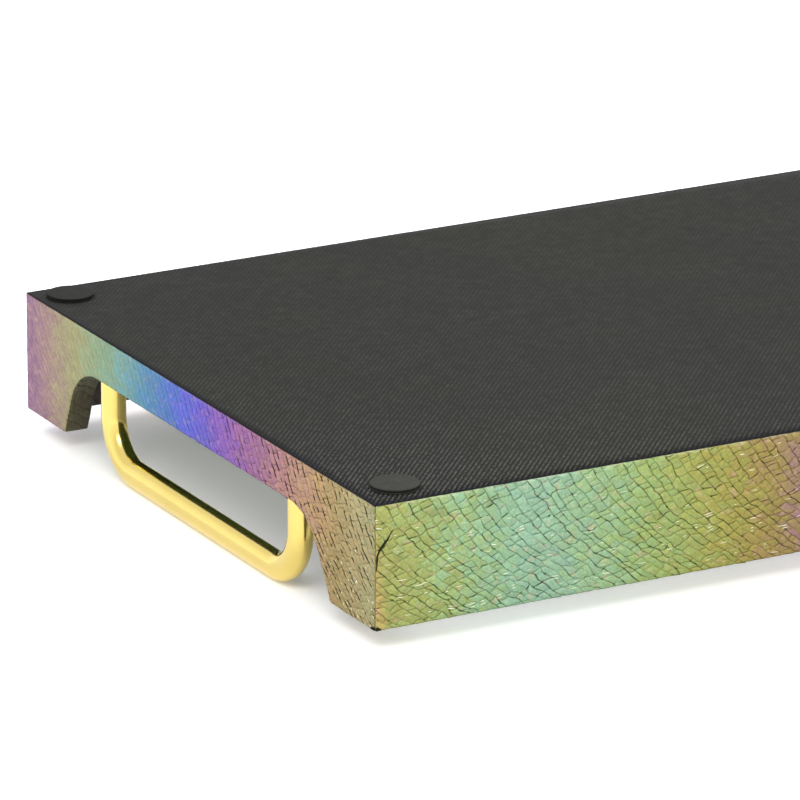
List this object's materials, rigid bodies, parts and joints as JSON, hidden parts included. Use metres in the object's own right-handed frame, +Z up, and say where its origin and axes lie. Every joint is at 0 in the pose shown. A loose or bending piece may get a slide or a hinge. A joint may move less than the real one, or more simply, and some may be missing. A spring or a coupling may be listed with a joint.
{
  "type": "serving tray with bar handles",
  "caption": "Shallow rectangular serving tray lying face down: scale-grain covered walls, black sheet-covered underside with round pads, and a bent bar handle in an opening in each end wall.",
  "frame": {"origin": "centre of the tray's footprint, on the plane the two handle bars rest on (the tray lies face down)", "axes": "+X along the long side, +Y across the tray, +Z up out of the underside; the open well faces -Z. In use the part is turned half a turn about X, so that it stands on its pads"},
  "size_m": [0.45, 0.3, 0.06],
  "materials": {
    "fibreboard": "raw medium-density fibreboard",
    "scale_leatherette": "iridescent scale-grain sheet, satin",
    "black_sheet": "fine diagonal rib, matte",
    "pad_rubber": "matte",
    "polished_brass": "mirror polished",
    "zinc_steel": "zinc plated"
  },
  "bodies": {
    "root": {"base_board": "fibreboard", "long_wall_front": "fibreboard", "long_wall_back": "fibreboard", "end_wall_left": "fibreboard", "end_wall_right": "fibreboard", "long_wrap_front": "scale_leatherette", "long_wrap_back": "scale_leatherette", "end_wrap_left": "scale_leatherette", "end_wrap_right": "scale_leatherette", "opening_lining_left": "scale_leatherette", "opening_lining_right": "scale_leatherette", "floor_board": "fibreboard", "floor_cover": "scale_leatherette", "underside_sheet": "black_sheet", "pad_front_left": "pad_rubber", "pad_front_right": "pad_rubber", "pad_back_left": "pad_rubber", "pad_back_right": "pad_rubber", "handle_left": "polished_brass", "handle_right": "polished_brass", "handle_washers": "zinc_steel", "handle_screws": "zinc_steel", "base_screws": "zinc_steel", "corner_brads": "zinc_steel"}
  },
  "joints": []
}
